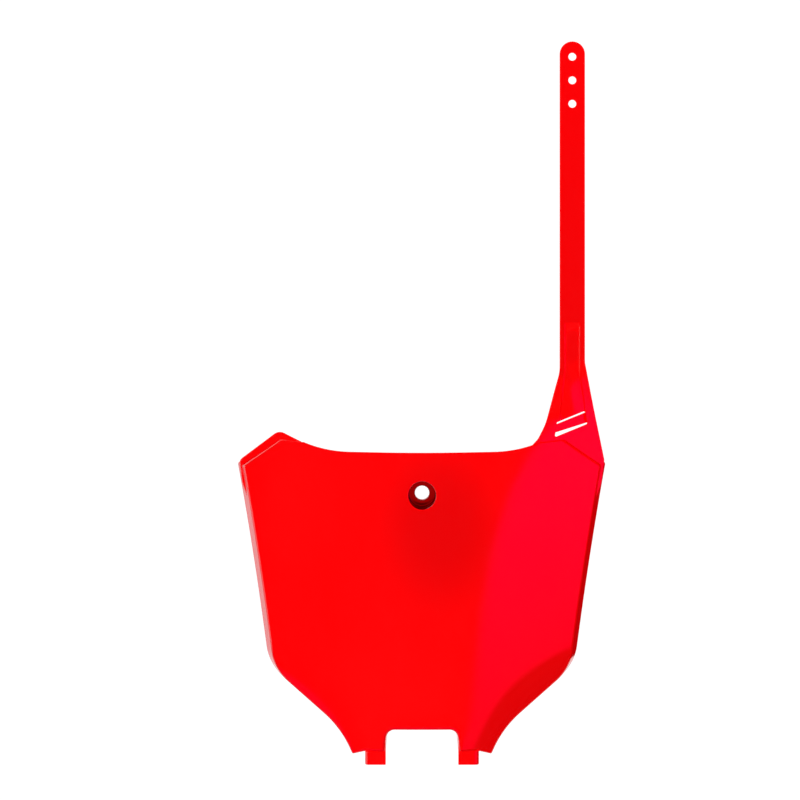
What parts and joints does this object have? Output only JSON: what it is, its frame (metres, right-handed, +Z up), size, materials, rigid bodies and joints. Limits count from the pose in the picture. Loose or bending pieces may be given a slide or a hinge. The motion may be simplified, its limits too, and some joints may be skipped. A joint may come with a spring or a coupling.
{
  "type": "racing number board",
  "caption": "One-piece moulded front number board for an off-road motorbike: bowed face, sunk bolt seat, corner flange, perforated strap with a slotted buckle, notched foot with tongues.",
  "frame": {"origin": "centre of the bolt hole where the bolt's collar seats, on the floor of the sunk seat", "axes": "+Z up the board and along its strap, +X across the face towards the strap's side, -Y out of the face"},
  "size_m": [0.2344, 0.0437, 0.4556],
  "materials": {
    "red_plastic": "glossy moulded, coloured through"
  },
  "bodies": {
    "root": {"number_board": "red_plastic"}
  },
  "joints": []
}
